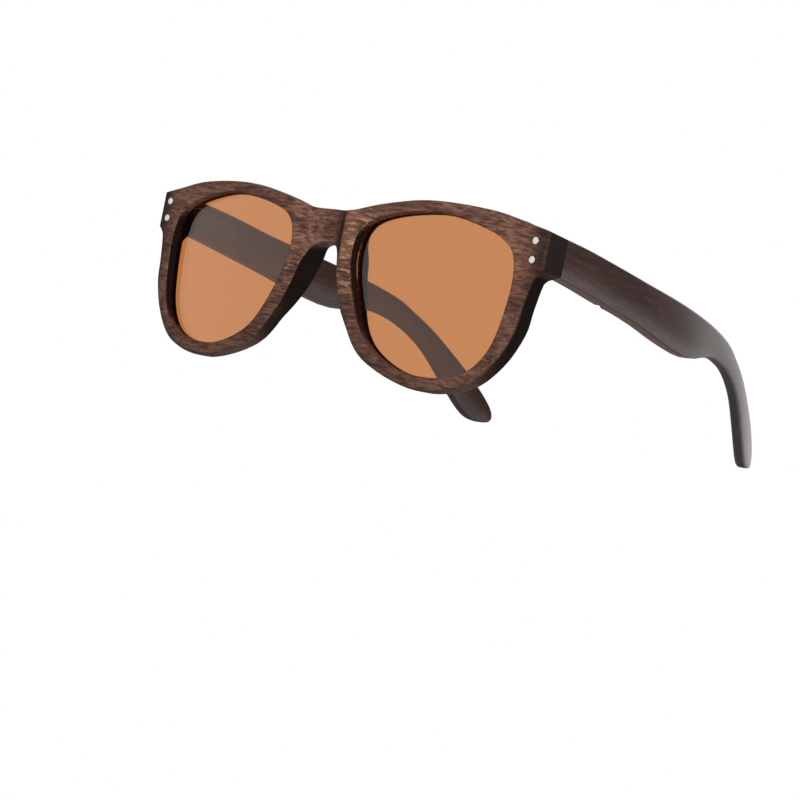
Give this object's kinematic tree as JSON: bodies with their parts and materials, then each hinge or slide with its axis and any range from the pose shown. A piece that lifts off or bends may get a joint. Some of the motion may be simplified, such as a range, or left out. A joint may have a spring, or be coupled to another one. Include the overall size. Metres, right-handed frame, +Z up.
{
  "type": "sunglasses",
  "caption": "Wooden sunglasses with tinted lenses in a milled front, carved bridge and folding temples on sprung hinges.",
  "frame": {"origin": "centre of the footprint, on the surface that the rims and the temple tips rest on", "axes": "+X towards the wearer's left, +Y back along the temples, +Z up"},
  "size_m": [0.144, 0.1503, 0.0504],
  "materials": {
    "dark_wood": "oiled satin",
    "tinted_lens": "polished brown tint",
    "pin_metal": "satin",
    "hinge_metal": "dark plated"
  },
  "bodies": {
    "front": {"front_frame": "dark_wood", "left_lens": "tinted_lens", "right_lens": "tinted_lens", "left_rivets": "pin_metal", "right_rivets": "pin_metal", "left_hinge_leaf": "hinge_metal", "right_hinge_leaf": "hinge_metal"},
    "left_fork": {"left_slider": "hinge_metal", "left_pivot_screw": "pin_metal", "left_spring": "pin_metal", "left_spring_stop": "pin_metal"},
    "left_arm": {"left_temple": "dark_wood", "left_spring_box": "hinge_metal", "left_box_screws": "hinge_metal"},
    "right_fork": {"right_slider": "hinge_metal", "right_pivot_screw": "pin_metal", "right_spring": "pin_metal", "right_spring_stop": "pin_metal"},
    "right_arm": {"right_temple": "dark_wood", "right_spring_box": "hinge_metal", "right_box_screws": "hinge_metal"}
  },
  "joints": [
    {"name": "left_fold", "type": "hinge", "parent": "front", "child": "left_fork", "pos_m": [0.0654, -0.05864, 0.04055], "axis": [0, 0.1243, 0.9922], "range_deg": [0, 84]},
    {"name": "left_flex", "type": "slide", "parent": "left_fork", "child": "left_arm", "axis": [0, 0.9922, -0.1243], "range_m": [0, 0.0012], "stiffness_N_per_m": 500, "springref_m": -0.004, "deforming": ["left_spring"]},
    {"name": "right_fold", "type": "hinge", "parent": "front", "child": "right_fork", "pos_m": [-0.0654, -0.05864, 0.04055], "axis": [0, -0.1243, -0.9922], "range_deg": [0, 70]},
    {"name": "right_flex", "type": "slide", "parent": "right_fork", "child": "right_arm", "axis": [0, 0.9922, -0.1243], "range_m": [0, 0.0012], "stiffness_N_per_m": 500, "springref_m": -0.004, "deforming": ["right_spring"]}
  ]
}
